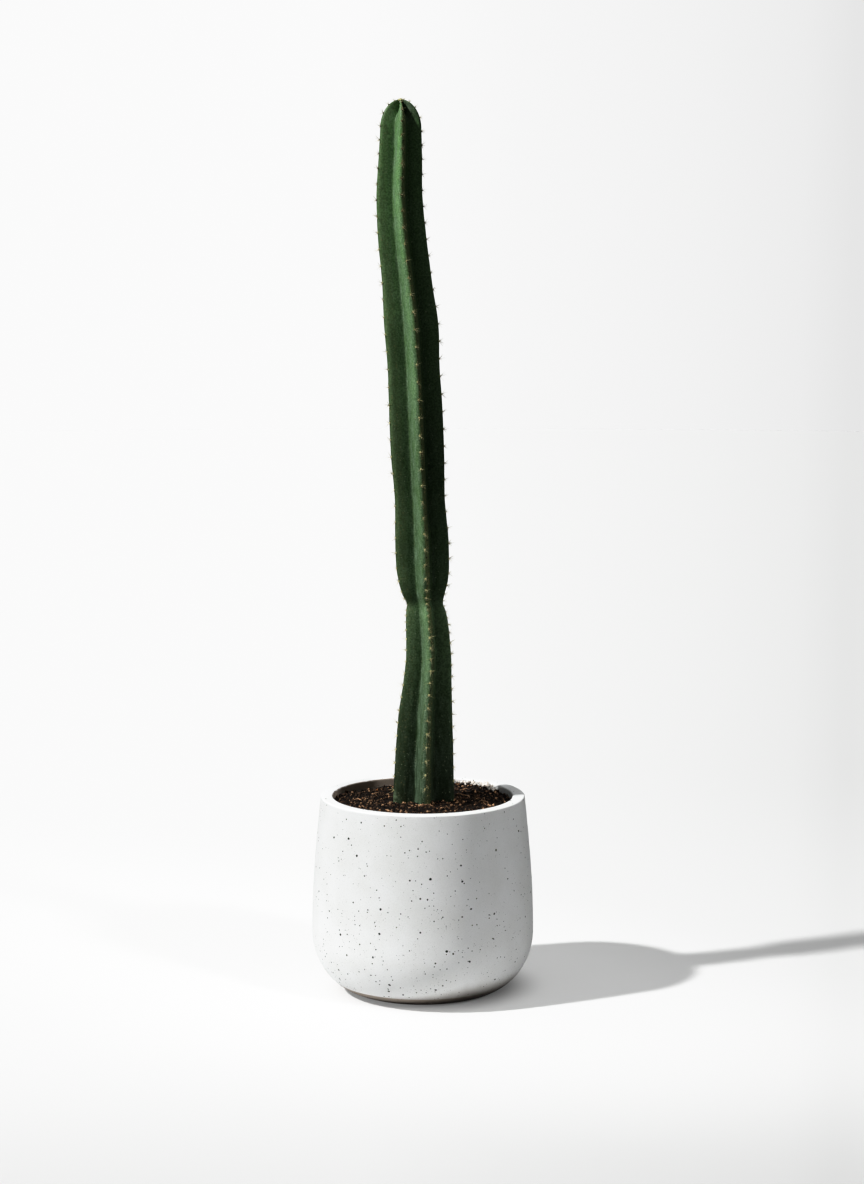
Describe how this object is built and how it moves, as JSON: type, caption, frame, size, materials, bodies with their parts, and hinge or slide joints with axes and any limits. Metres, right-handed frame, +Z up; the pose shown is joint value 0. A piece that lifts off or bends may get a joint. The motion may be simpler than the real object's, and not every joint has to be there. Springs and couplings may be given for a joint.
{
  "type": "potted peruvian apple cactus",
  "caption": "Tall ribbed columnar cactus with small spines, planted in granular soil in a rounded speckled planter.",
  "frame": {"origin": "on the floor under the axis of the pot", "axes": "+Z up along the pot's axis, -Y towards the front view, +X to the right of it"},
  "size_m": [0.2236, 0.224, 0.8905],
  "materials": {
    "pot": "matte",
    "soil": "matte",
    "stem": "satin"
  },
  "bodies": {
    "root": {"pot": "pot", "soil": "soil", "stem": "stem"}
  },
  "joints": []
}
